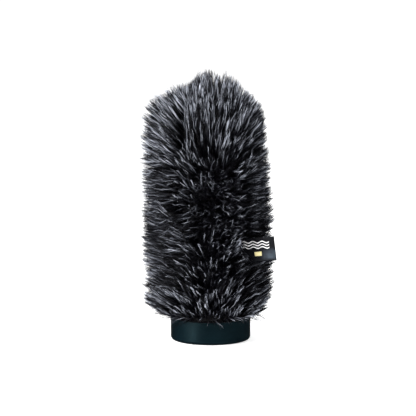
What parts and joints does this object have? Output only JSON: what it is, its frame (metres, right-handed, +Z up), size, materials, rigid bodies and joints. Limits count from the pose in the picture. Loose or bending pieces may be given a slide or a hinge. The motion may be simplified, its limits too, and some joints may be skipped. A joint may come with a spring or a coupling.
{
  "type": "furry microphone windscreen",
  "caption": "Long-pile fur windshield over a blind foam core, with a moulded collar whose rubber grip slips over a shotgun microphone and a ribbon label in the side seam.",
  "frame": {"origin": "centre of the collar's foot, on the microphone's axis, at the plane that the windscreen stands on", "axes": "+Z up the microphone's axis towards the fur crown; -Y is the side from which the ribbon label reads; +X is the side that the label points to"},
  "size_m": [0.0994, 0.099, 0.209],
  "materials": {
    "collar": "satin",
    "grip_rubber": "matte",
    "foam": "open-cell foam",
    "binding": "woven tape",
    "band": "matte",
    "backing": "knitted",
    "thread": "sewing thread",
    "pile": "long acrylic pile",
    "ribbon": "woven ribbon"
  },
  "bodies": {
    "windscreen": {"collar_shell": "collar", "grip_bush": "grip_rubber", "foam_core": "foam", "hem_tape": "binding", "clamp_band": "band", "sleeve_backing": "backing", "sleeve_seam": "thread", "ring_seam": "thread", "crown_seams": "thread", "crown_backing_1": "backing", "crown_backing_2": "backing", "crown_backing_3": "backing", "crown_backing_4": "backing", "sleeve_pile": "pile", "crown_pile_1": "pile", "crown_pile_2": "pile", "crown_pile_3": "pile", "crown_pile_4": "pile"},
    "label_tab": {"label": "ribbon"}
  },
  "joints": [
    {"name": "label_flap", "type": "hinge", "parent": "windscreen", "child": "label_tab", "pos_m": [0.01945, -0.02401, 0.0715], "axis": [0, 0, 1], "range_deg": [-20, 8], "stiffness_Nm_per_rad": 0.0005}
  ]
}
